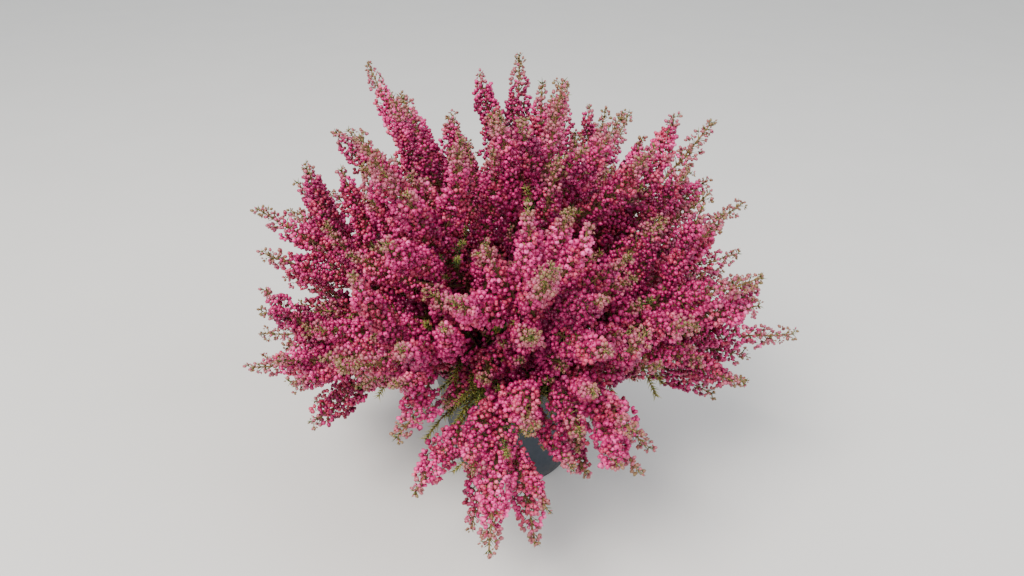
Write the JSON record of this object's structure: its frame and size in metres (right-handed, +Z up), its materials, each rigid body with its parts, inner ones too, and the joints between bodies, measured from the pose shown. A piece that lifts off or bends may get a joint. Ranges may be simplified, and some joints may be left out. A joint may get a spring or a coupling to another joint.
{
  "type": "potted cape heath",
  "caption": "Flowering cape heath in a tapered plastic nursery pot: a dense rounded bush of upright and arching spires covered in small pink bells over needle foliage.",
  "frame": {"origin": "middle of the pot's foot, on the surface that the pot stands on", "axes": "+Z up, -Y towards the side that the picture is taken from, +X to the right of that view"},
  "size_m": [0.3846, 0.3834, 0.3151],
  "materials": {
    "pot": "satin",
    "peat": "matte",
    "leaf": "satin",
    "bell": "satin"
  },
  "bodies": {
    "root": {"pot": "pot", "peat": "peat", "leafy_stem_01": "leaf", "flower_spray_01": "bell", "leafy_stem_02": "leaf", "flower_spray_02": "bell", "leafy_stem_03": "leaf", "flower_spray_03": "bell", "leafy_stem_04": "leaf", "flower_spray_04": "bell", "leafy_stem_05": "leaf", "flower_spray_05": "bell", "leafy_stem_06": "leaf", "flower_spray_06": "bell", "leafy_stem_07": "leaf", "flower_spray_07": "bell", "leafy_stem_08": "leaf", "flower_spray_08": "bell", "leafy_stem_09": "leaf", "flower_spray_09": "bell", "leafy_stem_10": "leaf", "flower_spray_10": "bell", "leafy_stem_11": "leaf", "flower_spray_11": "bell", "leafy_stem_12": "leaf", "flower_spray_12": "bell", "leafy_stem_13": "leaf", "flower_spray_13": "bell", "leafy_stem_14": "leaf", "flower_spray_14": "bell", "leafy_stem_15": "leaf", "flower_spray_15": "bell", "leafy_stem_16": "leaf", "flower_spray_16": "bell", "leafy_stem_17": "leaf", "flower_spray_17": "bell", "leafy_stem_18": "leaf", "flower_spray_18": "bell", "leafy_stem_19": "leaf", "flower_spray_19": "bell", "leafy_stem_20": "leaf", "flower_spray_20": "bell", "leafy_stem_21": "leaf", "flower_spray_21": "bell"}
  },
  "joints": []
}
